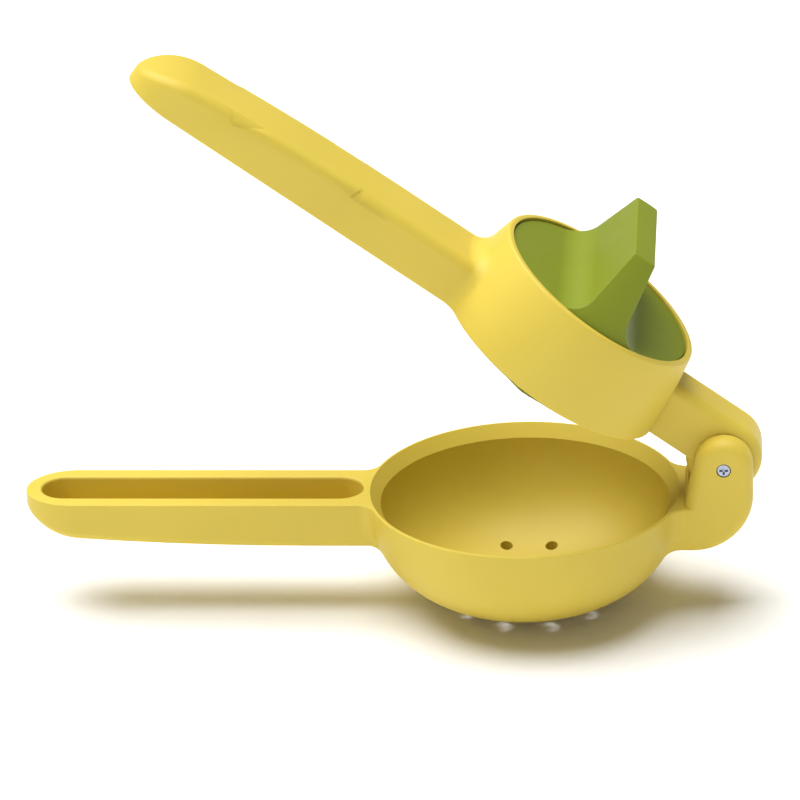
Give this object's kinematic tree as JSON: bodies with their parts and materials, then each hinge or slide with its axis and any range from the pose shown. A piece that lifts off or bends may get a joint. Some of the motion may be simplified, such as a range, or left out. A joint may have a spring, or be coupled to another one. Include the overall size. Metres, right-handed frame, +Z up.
{
  "type": "hinged lemon squeezer",
  "caption": "Two-lever citrus press: a pierced bowl on one lever, and a hinged ring on the other that carries a pressing head turned by a finned knob.",
  "frame": {"origin": "centre of the bowl's rim, in the plane of the rim", "axes": "+X from the bowl to the hinge, the handles run along -X; +Z up out of the bowl; +Y completes the right-handed frame, along the hinge axis"},
  "size_m": [0.2028, 0.0866, 0.158],
  "materials": {
    "lever_plastic": "satin moulded, lemon yellow",
    "knob_plastic": "satin moulded, lime green",
    "reamer_plastic": "satin moulded, lime green",
    "screw_steel": "bright, pressed head",
    "barrel_steel": "turned",
    "seal_rubber": "smooth"
  },
  "bodies": {
    "base": {"lower_lever": "lever_plastic", "hinge_barrel": "barrel_steel", "hinge_screw": "screw_steel"},
    "top": {"upper_lever": "lever_plastic"},
    "twist": {"twist_knob": "knob_plastic", "reamer": "reamer_plastic", "reamer_screw": "screw_steel", "reamer_seal": "seal_rubber"}
  },
  "joints": [
    {"name": "lever_hinge", "type": "hinge", "parent": "base", "child": "top", "pos_m": [0.0547, 0, 0.0118], "axis": [0, 1, 0], "range_deg": [-38, 108]},
    {"name": "head_twist", "type": "hinge", "parent": "top", "child": "twist", "pos_m": [0.01422, 0, 0.04911], "axis": [0.5906, 0, 0.807], "continuous": true}
  ]
}
